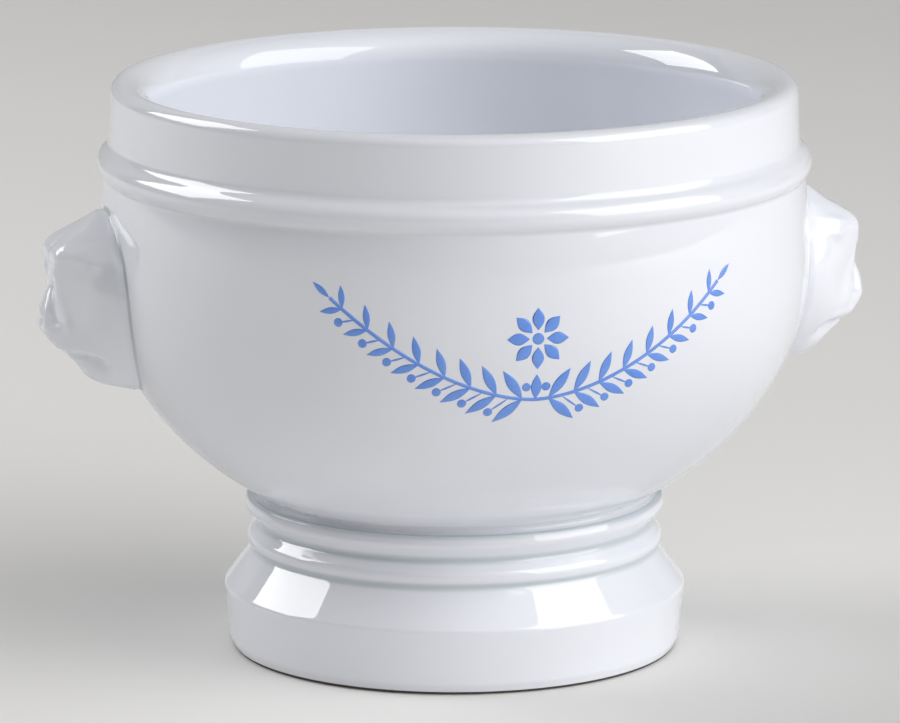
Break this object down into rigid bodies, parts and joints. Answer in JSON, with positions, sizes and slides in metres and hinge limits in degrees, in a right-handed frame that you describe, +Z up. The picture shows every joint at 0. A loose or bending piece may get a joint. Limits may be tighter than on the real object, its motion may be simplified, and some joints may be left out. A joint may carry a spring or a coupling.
{
  "type": "footed soup bowl",
  "caption": "Deep round soup bowl in glazed white porcelain with a beaded collar, a ringed hollow foot, lion-head lugs as handles and a printed leaf garland, for gratineed onion soup.",
  "frame": {"origin": "middle of the foot's resting face", "axes": "+Z up along the bowl's axis, X through the two lion heads, -Y towards the printed garland"},
  "size_m": [0.1452, 0.1224, 0.0989],
  "materials": {
    "porcelain": "clear glossy glaze over white porcelain",
    "slip": "white casting slip under clear glossy glaze",
    "blue_print": "pale blue printed colour fired onto the glaze, glossy"
  },
  "bodies": {
    "root": {"bowl": "porcelain", "foot": "porcelain", "foot_slip_joint": "slip", "lion_head_left": "porcelain", "lion_head_right": "porcelain", "head_slip_joint_left": "slip", "head_slip_joint_right": "slip", "garland_print": "blue_print"}
  },
  "joints": []
}
